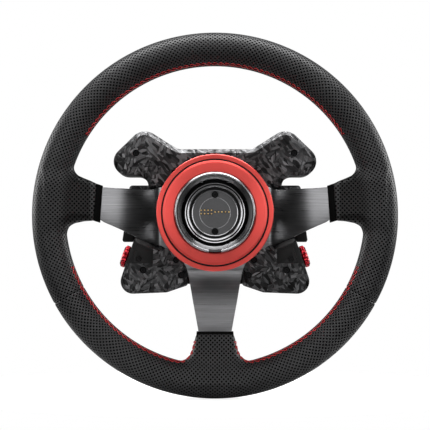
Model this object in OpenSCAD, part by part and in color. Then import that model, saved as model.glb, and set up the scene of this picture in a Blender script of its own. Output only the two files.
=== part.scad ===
// Quick release steering wheel.
// +Y runs along the wheel axis from the wheelbase to the driver, +Z is twelve o'clock.
// The origin is the centre of the socket bore at its mouth end.

/* [Quick release] */
// Radius of the socket bore
bore_r = 29; // [28.5:0.1:29.2]
// Length of the plain bore behind the lead-in cone
bore_len = 8; // [6:0.5:8]
// Outer radius of the release collar
collar_r = 50.4; // [48:0.2:52]
// Travel of the release collar towards the driver
collar_travel = 6; // [5:0.5:6]
// Number of locking balls
ball_count = 8; // [8:1:8]
// Width of the key notch in the nose ring
key_w = 11; // [8:0.5:12]

/* [Spokes] */
// Thickness of the spokes and the hub plate
spoke_t = 5; // [4:0.5:5.5]
// Height of the dish between hub and rim
dish_h = 34.5; // [33:0.5:35]
// Distance from the axis at which a spoke is level with the rim
dish_end = 102; // [98:1:104]

/* [Rim] */
// Outer radius of the wheel over the leather
wheel_r = 165; // [164:0.2:166]
// Radius of the leather grip section
grip_r = 15.2; // [14.6:0.1:15.4]
// Thickness of the leather
leather_t = 1.3; // [1:0.1:1.6]

/* [Housing] */
// Depth of the button housing
housing_d = 38.5; // [38:0.5:39]
// Wall thickness of the button housing
wall_t = 3; // [2.5:0.25:3.25]
// Chamfer around the rear edge of the button housing
edge_chamfer = 3.5; // [2:0.5:3.5]

/* [Controls] */
// Radius of a push button cap
button_r = 6; // [5:0.25:6.2]
// Radius of a thumb knob
thumb_r = 10; // [9:0.25:10.5]
// Flutes around a thumb knob
thumb_flutes = 14; // [12:1:18]

/* [Hidden] */
$fn = 64;
tooth_gap = 0.05;   // radial play of a running fit

// Stations along the axis
nose_y = -5;
hub_y = 33;
housing_y = hub_y + spoke_t + 0.5;
plate_y = housing_y + housing_d;
plate_t = 3.5;
plate_front = plate_y + plate_t;
rim_y = hub_y + spoke_t / 2 + dish_h;
board_y = 62;
board_t = 1.6;
cap_front = 84.5;
edge_steps = 4;

// Quick release
body_r = bore_r + 4.6;
ball_r = 3;
ball_y = 11.2;
ball_lift = 1.5;
ball_hole_r = ball_r + 0.06;
ball_seat_r = body_r - ball_r;
cam_slope = ball_lift / collar_travel;
cam_offset = (ball_r + 0.06) * sqrt(1 + cam_slope * cam_slope);
lip_y = [0.3, 2.3];
land_r = body_r + tooth_gap;
groove_r = bore_r + 0.4;
floor_y = 22;
flange_y = 27;
spigot_r = 25.9;
disc_r = 20.1;
disc_y = 12.6;
web_y = 16;
pin_pitch = 3;

// Hub bolts
hub_pcd = 70;
hub_bolt_r = 2.5;

// Rim
tube_r = wheel_r - grip_r;
foam_r = grip_r - leather_t - 0.05;
ring_half = 4;
ring_in = tube_r - 4.8;
seam_angle = 29;

// Right half of the housing outline: x, z and corner radius, from top centre to bottom centre
half_outline = [
    [33, 57.4, 12], [63.8, 76.9, 14], [108, 34.2, 12.5], [58.8, 34.1, 10],
    [58.8, 23.4, 0.5], [48.5, 23.4, 3], [48.5, -29.5, 3], [70.9, -20.6, 3],
    [87.8, -71, 11], [42.6, -69.2, 6], [24.6, -63.1, 1.5], [25.8, -49.5, 2.5]
];
side_top = [72.6, -25.9];     // upper end of the slanted side below a side spoke
side_bottom = [83.3, -57.7];  // lower end of that side
side_tilt = atan2(side_bottom.x - side_top.x, side_top.y - side_bottom.y);
thumb_at = [76.8, 56, -38.3]; // where the thumb knob axis leaves the housing side

// Screws in the back of the housing, x and z of the right half
back_screws = [[69.8, 53.8], [63.3, -49.6], [29.6, -54], [35.5, 36.5], [34.3, -40.5]];
insert_screw = [66.9, -39.8];
insert_outline = [[68.3, -27.6], [54.5, -32.8], [54.5, -43.6], [73.6, -43.6]];

// Controls, x and z of the right half
button_places = [[78, 45.5], [60, 61], [52, 44], [53.5, -40.5], [72.5, -59.5]];
button_travel = 1.2;
dial_at = [48, -57];
dial_r = 8;

// ---- Placing helpers ----

// Revolves a profile of [radius, y] points about the wheel axis
module lathe() rotate([-90, 0, 0]) rotate_extrude() children();

// Extrudes an outline drawn in x and z between two stations along the axis
module slab(y0, y1) translate([0, y1, 0]) rotate([90, 0, 0]) linear_extrude(y1 - y0) children();

// A round bar parallel to the wheel axis
module bar(at, r, y0, y1) translate([at[0], y0, at[1]]) rotate([-90, 0, 0]) cylinder(r = r, h = y1 - y0);

// Part of a ring swept about the wheel axis, angles counted from +X towards +Z
module arc_sweep(from, to) rotate([-90, 0, 0]) rotate([0, 0, -to]) rotate_extrude(angle = to - from)
    children();

// Both sides of the wheel
module both() {
    children();
    mirror([1, 0, 0]) children();
}

// ---- Outlines ----

function unit(v) = v / norm(v);
function left_of(v) = [-v.y, v.x];
function flip(p) = [-p[0], p[1], p[2]];
function turn(a, b, c) = (b.x - a.x) * (c.y - b.y) - (b.y - a.y) * (c.x - b.x);
function wrap(a) = a > 180 ? a - 360 : a < -180 ? a + 360 : a;

// The closed outline, counter-clockwise seen from the wheelbase
outline = [
    for (p = half_outline) flip(p),
    for (i = [len(half_outline) - 1:-1:0]) half_outline[i]
];

// A corner moved inwards by d along both of its edges
function inset_corner(a, b, c, d) =
    let (n1 = left_of(unit(b - a)), n2 = left_of(unit(c - b)))
    b + d * (n1 + n2) / (1 + n1 * n2);

// Corner radius after an inset: only outer corners get tighter
function inset_radius(a, b, c, r, d) = turn(a, b, c) > 0 ? max(r - d, 0.3) : r;

function xz(p) = [p[0], p[1]];
function inset_path(path, d) =
    let (n = len(path))
    [for (i = [0:n - 1])
        let (a = xz(path[(i + n - 1) % n]), b = xz(path[i]), c = xz(path[(i + 1) % n]),
             q = inset_corner(a, b, c, d))
        [q.x, q.y, inset_radius(a, b, c, path[i][2], d)]];

// Arc that rounds the corner b between its neighbours a and c
function corner_arc(a, b, c, r, steps) =
    let (u = unit(a - b), v = unit(c - b), half = acos(u * v) / 2,
         centre = b + unit(u + v) * r / sin(half),
         first = b + u * r / tan(half) - centre, last = b + v * r / tan(half) - centre,
         a0 = atan2(first.y, first.x), sweep = wrap(atan2(last.y, last.x) - a0))
    [for (k = [0:steps]) centre + r * [cos(a0 + sweep * k / steps), sin(a0 + sweep * k / steps)]];

function rounded(path, steps = 7) =
    let (n = len(path))
    [for (i = [0:n - 1])
        each corner_arc(xz(path[(i + n - 1) % n]), xz(path[i]), xz(path[(i + 1) % n]), path[i][2], steps)];

function housing_path(d) = rounded(inset_path(outline, d));

// The housing block, its rear edge cut back in steps
module housing_block() for (k = [1:edge_steps])
    slab(housing_y + edge_chamfer * (k - 1) / edge_steps, plate_y)
        polygon(housing_path(edge_chamfer * (edge_steps - k) / edge_steps));

// ---- Quick release ----

module nose_ring() color("silver") difference() {
    lathe() polygon([
        [33, nose_y], [33.6, nose_y], [34.6, nose_y + 1.2], [34.6, 0], [body_r + 0.02, 0],
        [body_r + 0.02, -3.5], [31.69, -3.5], [32.3, -4.3]
    ]);
    translate([-key_w / 2, nose_y - 1, -40]) cube([key_w, 4.2, 12]);
}

module ball_places() for (i = [0:ball_count - 1]) rotate([0, -(i + 0.5) * 360 / ball_count, 0]) children();

module qr_body() color("dimgray") difference() {
    lathe() polygon([
        [31.69, -3.5], [bore_r, 0], [bore_r, bore_len], [groove_r, bore_len], [groove_r, floor_y],
        [24, floor_y], [24, hub_y], [40, hub_y], [40, flange_y], [body_r, flange_y], [body_r, -3.5]
    ]);
    ball_places() translate([27, ball_y, 0]) rotate([0, 90, 0]) cylinder(r = ball_hole_r, h = 9);
    hub_bolt_places() bar([0, 0], hub_bolt_r + 0.02, hub_y - 4.6, hub_y + 1);
}

// Radius of the collar's ball cam at a station
function cam_r(y) = ball_seat_r + cam_offset + (ball_y - y) * cam_slope;

module release_collar() color("crimson") lathe() polygon([
    [33.9, lip_y[0]], [35.1, lip_y[0]], [35.1, -0.6], [35.6, -1.1], [42.8, -1.1], [44.8, 0.9],
    [45.2, 2.6], [46, 2.6], [46.4, 2.2], [collar_r - 0.5, 2.2], [collar_r, 2.7],
    [collar_r, 10.5], [collar_r - 0.5, 11], [43.5, 11.8], [41.5, 13.5], [41.5, 19.5],
    [39, 19.5], [39, 15.6], [land_r, 15.6],
    [land_r, ball_y + (cam_r(ball_y) - land_r) / cam_slope],
    [cam_r(lip_y[1]), lip_y[1]], [33.9, lip_y[1]]
]);

// Three turns of round wire between the collar and the flange of the body
module collar_spring() {
    wire_r = 0.8;
    coil_r = 36.3;
    turns = 3;
    steps = 20;
    sides = 6;
    start = 15.6 + wire_r + 0.1;
    rise = flange_y - start - wire_r - 0.1;
    rings = turns * steps;
    color("gray") polyhedron(
        points = [
            for (i = [0:rings], k = [0:sides - 1])
                let (a = 360 * i / steps, b = 360 * k / sides, r = coil_r + wire_r * cos(b))
                [r * cos(a), start + rise * i / rings + wire_r * sin(b), r * sin(a)]
        ],
        faces = [
            [for (k = [0:sides - 1]) k],
            [for (k = [sides - 1:-1:0]) rings * sides + k],
            for (i = [0:rings - 1], k = [0:sides - 1])
                let (m = (k + 1) % sides)
                [i * sides + k, (i + 1) * sides + k, (i + 1) * sides + m, i * sides + m]
        ]
    );
}

module locking_ball(number) color("lightgray")
    rotate([0, -(number - 0.5) * 360 / ball_count, 0]) translate([ball_seat_r, ball_y, 0]) sphere(r = ball_r);

module centre_spigot() color("darkslategray") difference() {
    lathe() polygon([
        [14, web_y], [disc_r + 0.2, web_y], [disc_r + 0.2, 13.5], [22.3, 13.5], [22.3, 9.8],
        [23.8, 8.7], [25.4, 8.7], [spigot_r, 9.2], [spigot_r, floor_y], [23.95, floor_y],
        [23.95, 30], [14, 30]
    ]);
    disc_screw_places() bar([0, 0], 1.52, web_y - 1, floor_y);
}

module disc_screw_places() for (z = [-16, 16]) translate([0, 0, z]) children();

// Eight contacts in two rows on the left, five in one row on the right
contact_places = [
    for (i = [0:3], z = [0.6, 3.6]) [(i - 4) * pin_pitch, z - 1.2],
    for (i = [4:8]) [(i - 4) * pin_pitch, 0.9]
];

module connector_disc() color("dimgray") difference() {
    bar([0, 0], disc_r, disc_y, web_y);
    lathe() polygon([[13.1, disc_y - 1], [13.5, disc_y - 1], [13.5, disc_y + 0.4], [13.1, disc_y + 0.4]]);
    for (at = contact_places) bar(at, 0.62, disc_y - 1, web_y + 1);
    disc_screw_places() bar([0, 0], 3.1, disc_y - 1, disc_y + 2.2);
    disc_screw_places() bar([0, 0], 1.7, disc_y, web_y + 1);
}

module contact_pins() color("gold") for (at = contact_places) bar(at, 0.6, disc_y - 0.5, 18);

// Socket head screw with its head towards the wheelbase
module socket_screw(head_r, head_h, shank_r, y0, y1) {
    difference() {
        bar([0, 0], head_r, y0, y0 + head_h);
        translate([0, y0 + head_h * 0.7, 0]) rotate([90, 0, 0])
            cylinder(r = head_r * 0.5, h = head_h, $fn = 6);
    }
    bar([0, 0], shank_r, y0 + head_h, y1);
}

module disc_screws() color("#1c1c1c") disc_screw_places()
    socket_screw(2.8, 1.9, 1.5, disc_y + 0.3, floor_y - 1);

module connector_board() color("darkgreen") bar([0, 0], 13.7, 18, 19.6);

// ---- Hub and spokes ----

module hub_bolt_places() for (i = [0:5]) rotate([0, 60 * i + 30, 0])
    translate([hub_pcd / 2, 0, 0]) children();

module hub_bolts() color("#222222") hub_bolt_places() {
    difference() {
        bar([0, 0], 4.25, hub_y + spoke_t, hub_y + spoke_t + 5);
        translate([0, hub_y + spoke_t + 6, 0]) rotate([90, 0, 0]) cylinder(r = 2.3, h = 3.5, $fn = 6);
    }
    bar([0, 0], hub_bolt_r, hub_y - 4.5, hub_y + spoke_t);
}

// Middle line of a spoke from hub to rim: distance from the axis and station
spoke_curve = [[50, 0], [60, 2], [58, 30], [dish_end, dish_h]];
function bezier(p, t) = (1 - t) ^ 3 * p[0] + 3 * t * (1 - t) ^ 2 * p[1]
    + 3 * t ^ 2 * (1 - t) * p[2] + t ^ 3 * p[3];
function bezier_slope(p, t) = 3 * (1 - t) ^ 2 * (p[1] - p[0])
    + 6 * t * (1 - t) * (p[2] - p[1]) + 3 * t ^ 2 * (p[3] - p[2]);
function spoke_side(offset) = [
    for (k = [0:20])
        let (t = k / 20, n = left_of(unit(bezier_slope(spoke_curve, t))))
        bezier(spoke_curve, t) + offset * n
];
function reversed(list) = [for (i = [len(list) - 1:-1:0]) list[i]];

// The bent strip that a spoke is cut from, running along +X
module spoke_strip() {
    mid_y = hub_y + spoke_t / 2;
    half_t = spoke_t / 2;
    path = concat(
        [[30, -half_t]], spoke_side(-half_t), [[ring_in + 2, dish_h - half_t]],
        [[ring_in + 2, dish_h + half_t]], reversed(spoke_side(half_t)), [[30, half_t]]
    );
    translate([0, mid_y, -60]) linear_extrude(120) polygon(path);
}

// Fronts of the spokes: distance from the axis and z, or half width
side_spoke = [
    [30, 30], [42, 26], [47, 23.2], [53, 21.6], [62, 21.8], [80, 23.6], [92, 24.2], [101.6, 25.2],
    [103, 23.5], [ring_in + 2, 21], [ring_in + 2, -1], [103, -3.4], [101.6, -5.8], [93.6, -9.1],
    [84.8, -12.9], [70, -19.6], [57.5, -25], [48, -27.8], [42, -30.5], [30, -34]
];
bottom_half = [
    [30, 30], [42, 28], [46, 25.8], [51, 23.8], [60, 22.2], [76, 19.8], [105, 14.8], [107, 13.2],
    [ring_in + 2, 12]
];

module ring_bore() bar([0, 0], ring_in, 0, 100);

module side_spoke() intersection() {
    spoke_strip();
    slab(20, 90) polygon(side_spoke);
    ring_bore();
}

module bottom_spoke() intersection() {
    rotate([0, 90, 0]) spoke_strip();
    slab(20, 90) polygon(concat(
        [for (p = bottom_half) [p[1], -p[0]]], [for (p = reversed(bottom_half)) [-p[1], -p[0]]]
    ));
    ring_bore();
}

module spoke_frame() color("dimgray") difference() {
    union() {
        bar([0, 0], 44, hub_y, hub_y + spoke_t);
        both() side_spoke();
        bottom_spoke();
    }
    bar([0, 0], 20, hub_y - 1, hub_y + spoke_t + 1);
    hub_bolt_places() bar([0, 0], hub_bolt_r + 0.25, hub_y - 1, hub_y + spoke_t + 1);
}

// ---- Rim ----

module rim_ring() color("gray") lathe() polygon([
    [ring_in, rim_y - ring_half], [ring_in + 9, rim_y - ring_half],
    [ring_in + 9, rim_y + ring_half], [ring_in, rim_y + ring_half]
]);

// Passages for the three spokes through the foam and the leather
module spoke_passages() {
    half = spoke_t / 2 + 0.3;
    both() translate([118, rim_y - half, -3.8]) cube([ring_in - 118 + 3, 2 * half, 29]);
    translate([-14.5, rim_y - half, -ring_in - 3]) cube([29, 2 * half, ring_in - 118 + 3]);
}

module rim_foam() color("#303030") difference() {
    lathe() difference() {
        translate([tube_r, rim_y]) circle(r = foam_r);
        translate([ring_in - 0.05, rim_y - ring_half - 0.05]) square([9.1, 2 * ring_half + 0.1]);
    }
    spoke_passages();
}

module leather_section() translate([tube_r, rim_y]) difference() {
    circle(r = grip_r);
    circle(r = grip_r - leather_t);
}

module leather_upper() color("#202020") difference() {
    arc_sweep(-seam_angle + 0.1, 180 + seam_angle - 0.1) leather_section();
    spoke_passages();
}

module leather_lower() color("#262626") difference() {
    arc_sweep(180 + seam_angle + 0.1, 360 - seam_angle - 0.1) leather_section();
    spoke_passages();
}

// Leather boots between the grip and the spokes: outline and half thickness along the spoke
boot_start = 107;
side_boot = [
    [boot_start, 28.4], [112.4, 31.2], [117.8, 33.3], [123.2, 36.2], [127, 41], [141, 41],
    [141, -17], [134.4, -14], [131.4, -9.8], [126, -7], [117.8, -5.7], [boot_start, -5]
];
bottom_boot = [[boot_start, 16.6], [112, 18.2], [121, 20], [126, 22.4], [130, 27], [141, 31]];
boot_half_t = [[boot_start, 4.4], [113, 5.6], [120, 7.6], [127, 10.4], [133, 13.2], [141, 14]];

module boot_side_view() translate([0, 0, -60]) linear_extrude(120) polygon(concat(
    [for (p = boot_half_t) [p[0], rim_y - p[1]]],
    [for (p = reversed(boot_half_t)) [p[0], rim_y + p[1]]]
));

module grip_torus() lathe() translate([tube_r, rim_y]) circle(r = grip_r + 0.05);

module boot_right() color("#1e1e1e") difference() {
    intersection() {
        boot_side_view();
        slab(50, 90) polygon(side_boot);
    }
    grip_torus();
    side_spoke();
    spoke_passages();
}

module boot_left() mirror([1, 0, 0]) boot_right();

module boot_bottom() color("#1e1e1e") difference() {
    intersection() {
        rotate([0, 90, 0]) boot_side_view();
        slab(50, 90) polygon(concat(
            [for (p = bottom_boot) [p[1], -p[0]]], [for (p = reversed(bottom_boot)) [-p[1], -p[0]]]
        ));
    }
    grip_torus();
    bottom_spoke();
    spoke_passages();
}

module boot_trims() color("#101010") {
    y0 = rim_y - 3.8;
    y1 = rim_y + 3.8;
    both() difference() {
        slab(y0, y1) polygon([[101.2, 26.4], [boot_start, 28.4], [boot_start, -5], [101.2, -7.4]]);
        side_spoke();
    }
    difference() {
        slab(y0, y1) polygon([[-16.2, -102.5], [-16.6, -boot_start], [16.6, -boot_start], [16.2, -102.5]]);
        bottom_spoke();
    }
}

// Raised seam lines on the inner rear flank of the grip
module stitching() color("red") {
    flank = 24;
    seam_r = grip_r + 0.5;
    for (span = [[32, 149], [200, 257], [283, 341]]) arc_sweep(span[0], span[1])
        translate([tube_r - seam_r * cos(flank), rim_y - seam_r * sin(flank)]) circle(r = 0.45);
}

// ---- Housing ----

module back_screw_places() both() for (at = back_screws) translate([at[0], 0, at[1]]) children();

module rear_housing() color("#2b2b2e") difference() {
    union() {
        difference() {
            housing_block();
            slab(housing_y + 4, plate_y + 1) polygon(housing_path(wall_t));
        }
        back_screw_places() bar([0, 0], 5, housing_y + 3.9, 48);
        both() bar(insert_screw, 3.6, housing_y + 3.9, 47);
    }
    bar([0, 0], 41, housing_y - 1, housing_y + 5);
    back_screw_places() bar([0, 0], 2.95, housing_y - 1, 44.2);
    back_screw_places() bar([0, 0], 1.7, 44, 61);
    both() slab(housing_y - 1, housing_y + 2.05) polygon(insert_outline);
    both() bar(insert_screw, 1.32, housing_y + 1, 46);
    both() thumb_axis() translate([0, 0, -wall_t - 3]) cylinder(r = 4.65, h = wall_t + 5);
}

// The plate follows the housing, and fills its notches with a wing on each side
module plate_outline() {
    polygon(housing_path(0.1));
    for (s = [-1, 1]) polygon([[s * 40, 27], [s * 77.4, 27], [s * 83.4, -22], [s * 72, -24.2], [s * 40, -30]]);
    polygon([[-30, -40], [30, -40], [27, -62.2], [-27, -62.2]]);
}

module front_plate() color("#26262a") difference() {
    union() {
        slab(plate_y, plate_front) plate_outline();
        intersection() {
            back_screw_places() bar([0, 0], 3.8, 50, plate_y);
            slab(49, plate_y + 1) polygon(housing_path(wall_t + 0.1));
        }
    }
    back_screw_places() bar([0, 0], 1.55, 49, 61);
    for (s = [-1, 1], at = button_places)
        bar([s * at[0], at[1]], button_r + 0.2, plate_y - 1, plate_front + 1);
    both() bar(dial_at, 4.6, plate_y - 1, plate_front + 1);
    slab(plate_y - 1, plate_front + 1) light_bar_outline(0.1);
    bar([0, 0], 18.2, plate_y - 1, plate_front + 1);
}

module wing_block_right() color("#151515") slab(plate_y - 4.6, plate_y - 0.02)
    polygon([[61, 22.5], [76.6, 24], [83.6, -22.6], [82.4, -24.3], [74.2, -24.3], [72.4, -18.6], [61, -18.6]]);

module wing_block_left() mirror([1, 0, 0]) wing_block_right();

module insert_right() color("#121212") difference() {
    slab(housing_y, housing_y + 2) polygon(inset_outline(insert_outline, 0.1));
    bar(insert_screw, 2.5, housing_y - 1, housing_y + 1.5);
    bar(insert_screw, 1.4, housing_y, housing_y + 3);
}

// A straight-edged outline given counter-clockwise, moved inwards by d
function inset_outline(path, d) =
    let (n = len(path))
    [for (i = [0:n - 1]) inset_corner(path[(i + n - 1) % n], path[i], path[(i + 1) % n], d)];

module insert_left() mirror([1, 0, 0]) insert_right();

module housing_screws() color("#1a1a1a") back_screw_places() socket_screw(2.75, 2.6, 1.5, 41.55, 60);

module insert_screws() color("#202020") both() translate([insert_screw[0], 0, insert_screw[1]])
    socket_screw(2.3, 1.3, 1.3, housing_y + 0.2, 45.8);

// ---- Electronics ----

module main_board() color("darkgreen") difference() {
    slab(board_y, board_y + board_t) polygon(housing_path(6));
    back_screw_places() bar([0, 0], 4.2, board_y - 1, board_y + board_t + 1);
}

module wiring_loom() color("#181818") {
    bar([0, 0], 2.4, 24.5, board_y - 6);
    translate([-6, 19.65, -3]) cube([12, 4.85, 6]);
    translate([-7, board_y - 6, -3.5]) cube([14, 5.95, 7]);
}

// Local frame of a thumb knob: +Z points out of the housing side
module thumb_axis() translate(thumb_at) rotate([0, 90 - side_tilt, 0]) children();

function flute_outline(r, count, depth) = [
    for (i = [0:count * 8 - 1])
        let (a = 360 * i / (count * 8), h = r - depth * pow(0.5 + 0.5 * cos(a * count), 3))
        h * [cos(a), sin(a)]
];

module thumb_knob_right() color("crimson") thumb_axis() {
    translate([0, 0, 0.8]) linear_extrude(4.2) polygon(flute_outline(thumb_r, thumb_flutes, 1.1));
    translate([0, 0, 5]) cylinder(r1 = thumb_r - 1.1, r2 = thumb_r - 2, h = 0.9);
    translate([0, 0, -7]) cylinder(r = 3, h = 7.9);
}

module thumb_knob_left() mirror([1, 0, 0]) thumb_knob_right();

module thumb_encoder_right() color("darkgray") thumb_axis() difference() {
    union() {
        translate([0, 0, -10.2]) cylinder(r = 4.5, h = 10.6);
        translate([-5.5, -6, -10.2]) cube([11, 12, 6.9]);
    }
    translate([0, 0, -7.5]) cylinder(r = 3 + tooth_gap, h = 9);
}

module thumb_encoder_left() mirror([1, 0, 0]) thumb_encoder_right();

// ---- Front controls ----

// A push button: cap, retaining flange under the plate and plunger
module button(at) color("dimgray") {
    bar(at, button_r, 76.6, cap_front);
    bar(at, button_r + 1, 75.2, 76.6);
    bar(at, 1.9, 69.2, 75.3);
}

module button_right(number) button(button_places[number - 1]);
module button_left(number) mirror([1, 0, 0]) button(button_places[number - 1]);

module button_bezels() color("black") both() for (at = button_places) difference() {
    bar(at, button_r + 2, plate_front, plate_front + 2);
    bar(at, button_r + 0.2, plate_front - 1, plate_front + 3);
}

module button_switches() color("#333333") both() for (at = button_places) difference() {
    translate([at[0] - 5.5, board_y + board_t, at[1] - 5.5]) cube([11, 6.2, 11]);
    bar(at, 2.1, board_y + board_t + 2, 72);
}

module dial_right() color("dimgray") {
    slab(81.4, 85) translate(dial_at) polygon(flute_outline(dial_r, 20, 0.7));
    bar(dial_at, 3, 73, 81.5);
}

module dial_left() mirror([1, 0, 0]) dial_right();

module dial_encoders() color("darkgray") both() difference() {
    union() {
        translate([dial_at[0] - 6, board_y + board_t, dial_at[1] - 6]) cube([12, 7, 12]);
        bar(dial_at, 4.4, board_y + board_t + 6.9, plate_front - 0.3);
    }
    bar(dial_at, 3 + tooth_gap, 72.6, plate_front + 1);
}

module light_bar_outline(grow = 0) {
    half = 30 - 2.5;
    for (s = [-1, 1]) translate([s * half, 48]) circle(r = 2.5 + grow);
    translate([-half, 48 - 2.5 - grow]) square([2 * half, 5 + 2 * grow]);
}

module light_bar() color("white") slab(plate_y + 0.5, plate_front + 0.6) light_bar_outline();

module centre_cap() color("#181818") {
    bar([0, 0], 18, plate_y, plate_front + 0.1);
    lathe() polygon([[0, plate_front], [22, plate_front], [22, plate_front + 1.6], [20.6, plate_front + 2.8],
        [0, plate_front + 2.8]]);
}

// ---- Assembly ----

nose_ring();
qr_body();
release_collar();
collar_spring();
locking_ball(1);  // locking_ball_1
locking_ball(2);  // locking_ball_2
locking_ball(3);  // locking_ball_3
locking_ball(4);  // locking_ball_4
locking_ball(5);  // locking_ball_5
locking_ball(6);  // locking_ball_6
locking_ball(7);  // locking_ball_7
locking_ball(8);  // locking_ball_8
centre_spigot();
connector_disc();
contact_pins();
disc_screws();
connector_board();
hub_bolts();
spoke_frame();
rim_ring();
rim_foam();
leather_upper();
leather_lower();
boot_left();
boot_right();
boot_bottom();
boot_trims();
stitching();
rear_housing();
front_plate();
wing_block_left();
wing_block_right();
insert_left();
insert_right();
housing_screws();
insert_screws();
main_board();
wiring_loom();
thumb_knob_left();
thumb_knob_right();
thumb_encoder_left();
thumb_encoder_right();
button_left(1);  // button_left_1
button_left(2);  // button_left_2
button_left(3);  // button_left_3
button_left(4);  // button_left_4
button_left(5);  // button_left_5
button_right(1);  // button_right_1
button_right(2);  // button_right_2
button_right(3);  // button_right_3
button_right(4);  // button_right_4
button_right(5);  // button_right_5
button_bezels();
button_switches();
dial_left();
dial_right();
dial_encoders();
light_bar();
centre_cap();
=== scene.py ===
from math import acos, atan2, cos, hypot, pi, radians, sin, tan

import bmesh
import bpy
import numpy as np
from mathutils import Matrix, Vector


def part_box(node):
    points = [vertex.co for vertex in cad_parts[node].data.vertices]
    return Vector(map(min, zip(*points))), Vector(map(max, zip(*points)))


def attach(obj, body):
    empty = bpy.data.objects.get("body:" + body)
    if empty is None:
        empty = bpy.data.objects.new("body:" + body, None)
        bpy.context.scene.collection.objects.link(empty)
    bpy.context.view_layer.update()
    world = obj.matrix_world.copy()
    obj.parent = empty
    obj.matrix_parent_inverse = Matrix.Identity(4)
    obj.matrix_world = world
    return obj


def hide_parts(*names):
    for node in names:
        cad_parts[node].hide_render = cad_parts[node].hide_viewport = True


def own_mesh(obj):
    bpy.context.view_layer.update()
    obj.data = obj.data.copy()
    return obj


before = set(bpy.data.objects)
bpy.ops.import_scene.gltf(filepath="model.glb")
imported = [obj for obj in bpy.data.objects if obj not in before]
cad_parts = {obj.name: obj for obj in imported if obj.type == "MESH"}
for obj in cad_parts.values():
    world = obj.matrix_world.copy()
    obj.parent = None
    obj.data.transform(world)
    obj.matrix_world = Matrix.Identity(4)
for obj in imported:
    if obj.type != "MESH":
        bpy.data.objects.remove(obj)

MM = 0.001
scene = bpy.context.scene
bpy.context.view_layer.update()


# ---- Stations of the CAD model, in millimetres ----

def low(node):
    return [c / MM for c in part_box(node)[0]]


def high(node):
    return [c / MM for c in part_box(node)[1]]


NOSE_Y = low("nose_ring")[1]
BODY_FRONT = high("qr_body")[1]
FLANGE_R = high("qr_body")[0]
COLLAR_R = high("release_collar")[0]
SPIGOT_R = high("centre_spigot")[0]
DISC_R = high("connector_disc")[0]
DISC_Y = low("connector_disc")[1]
HUB_Y = low("spoke_frame")[1]
WHEEL_R = high("leather_upper")[2]
RIM_Y = (low("leather_upper")[1] + high("leather_upper")[1]) / 2
GRIP_R = (high("leather_upper")[1] - low("leather_upper")[1]) / 2
TUBE_R = WHEEL_R - GRIP_R
BACK_Y = low("rear_housing")[1]
PLATE_Y = high("rear_housing")[1]
PLATE_FRONT = high("button_bezels")[1] - 2
SPOKE_T = 5
DISH = RIM_Y - HUB_Y - SPOKE_T / 2


# ---- Mesh helpers, all in millimetres ----

def add(name, data):
    ob = bpy.data.objects.new(name, data)
    scene.collection.objects.link(ob)
    return ob


def smooth(ob, angle=32):
    me = ob.data
    me.polygons.foreach_set("use_smooth", [True] * len(me.polygons))
    me.set_sharp_from_angle(angle=radians(angle))
    return ob


def tidy(me):
    bm = bmesh.new()
    bm.from_mesh(me)
    bmesh.ops.remove_doubles(bm, verts=bm.verts, dist=2e-6)
    bmesh.ops.dissolve_degenerate(bm, edges=bm.edges, dist=1e-6)
    bmesh.ops.recalc_face_normals(bm, faces=bm.faces)
    bm.to_mesh(me)
    bm.free()


def make(name, parts, angle=32):
    """One object from a list of (points, faces) in millimetres."""
    points, faces = [], []
    for pts, fcs in parts:
        base = len(points)
        points += [(p[0] * MM, p[1] * MM, p[2] * MM) for p in pts]
        faces += [[base + i for i in f] for f in fcs]
    me = bpy.data.meshes.new(name)
    me.from_pydata(points, [], faces)
    tidy(me)
    return smooth(add(name, me), angle)


def round_path(path, steps=4, closed=True):
    """A path of (a, b, radius) with its corners rounded, each within its share of an edge."""
    out, n = [], len(path)
    for i in range(n):
        p = Vector(path[i][:2])
        r = path[i][2] if len(path[i]) > 2 else 0
        if r <= 0 or (not closed and i in (0, n - 1)):
            out.append(tuple(p))
            continue
        a, c = Vector(path[i - 1][:2]) - p, Vector(path[(i + 1) % n][:2]) - p
        u, v = a.normalized(), c.normalized()
        half = acos(max(-1, min(1, u.dot(v)))) / 2
        if half > radians(88):
            out.append(tuple(p))
            continue
        reach = min(r / tan(half), 0.48 * a.length, 0.48 * c.length)
        r = reach * tan(half)
        centre = p + (u + v).normalized() * r / sin(half)
        first, last = p + u * reach - centre, p + v * reach - centre
        a0 = atan2(first.y, first.x)
        sweep = atan2(last.y, last.x) - a0
        sweep = (sweep + pi) % (2 * pi) - pi
        for k in range(steps + 1):
            t = a0 + sweep * k / steps
            out.append((centre.x + r * cos(t), centre.y + r * sin(t)))
    return out


def circle(n):
    """Points of a unit circle."""
    return [(cos(2 * pi * k / n), sin(2 * pi * k / n)) for k in range(n)]


def lathe(profile, at=(0, 0), segs=128, steps=3):
    """A closed profile of (radius, y, corner radius) turned about an axis along Y."""
    path = round_path(profile, steps)
    n = len(path)
    pts = [(at[0] + r * c, y, at[1] + r * s) for c, s in circle(segs) for r, y in path]
    faces = [(i * n + k, (i + 1) % segs * n + k, (i + 1) % segs * n + (k + 1) % n, i * n + (k + 1) % n)
             for i in range(segs) for k in range(n)]
    return pts, faces


def rod(r, y0, y1, at=(0, 0), segs=32, corner=0):
    """A round bar along Y, to drill a hole with or as a post."""
    return lathe([(0, y0, 0), (r, y0, 0), (r, y1, corner), (0, y1, 0)], at=at, segs=segs)


def stack(rings):
    """Joins rings of points, all with the same count, into a closed body."""
    n = len(rings[0])
    pts = [p for ring in rings for p in ring]
    faces = [(j * n + k, (j + 1) * n + k, (j + 1) * n + (k + 1) % n, j * n + (k + 1) % n)
             for j in range(len(rings) - 1) for k in range(n)]
    faces += [list(range(n)), list(range(len(pts) - n, len(pts)))[::-1]]
    return pts, faces


def prism(outline, y0, y1):
    return stack([[(x, y, z) for x, z in outline] for y in (y0, y1)])


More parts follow.
